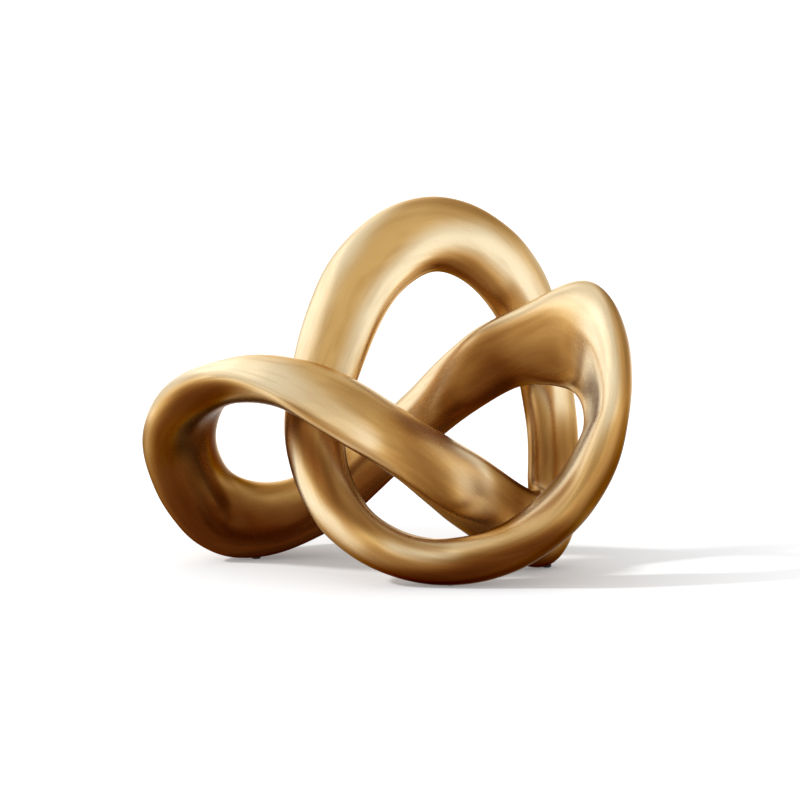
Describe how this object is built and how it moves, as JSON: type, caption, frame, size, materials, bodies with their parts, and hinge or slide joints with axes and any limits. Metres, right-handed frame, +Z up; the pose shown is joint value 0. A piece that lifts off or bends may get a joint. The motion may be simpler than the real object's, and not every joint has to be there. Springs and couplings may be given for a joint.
{
  "type": "twisted braid sculpture",
  "caption": "Tabletop sculpture: a closed twisting band tied in a trefoil knot, satin antique gold metal, resting on small rubber pads.",
  "frame": {"origin": "middle of the sculpture's box, on the surface it stands on", "axes": "+X to the viewer's right along the longest extent, +Y away from the viewer, +Z up"},
  "size_m": [0.2936, 0.16, 0.2283],
  "materials": {
    "gold_casting": "cast, ground smooth, antique gold plating with a brown patina in the hollows, satin",
    "steel_dowel": "ground, plain",
    "rubber_pad": "matt black"
  },
  "bodies": {
    "root": {"arch_casting": "gold_casting", "rear_leg_casting": "gold_casting", "diagonal_casting": "gold_casting", "left_loop_casting": "gold_casting", "riser_casting": "gold_casting", "right_band_casting": "gold_casting", "ring_casting": "gold_casting", "front_leg_casting": "gold_casting", "front_leg_to_arch_dowel": "steel_dowel", "arch_to_rear_leg_dowel": "steel_dowel", "rear_leg_to_diagonal_dowel": "steel_dowel", "diagonal_to_left_loop_dowel": "steel_dowel", "left_loop_to_riser_dowel": "steel_dowel", "riser_to_right_band_dowel": "steel_dowel", "right_band_to_ring_dowel": "steel_dowel", "ring_to_front_leg_dowel": "steel_dowel", "ring_pad": "rubber_pad", "rear_pad": "rubber_pad", "left_pad": "rubber_pad"}
  },
  "joints": []
}
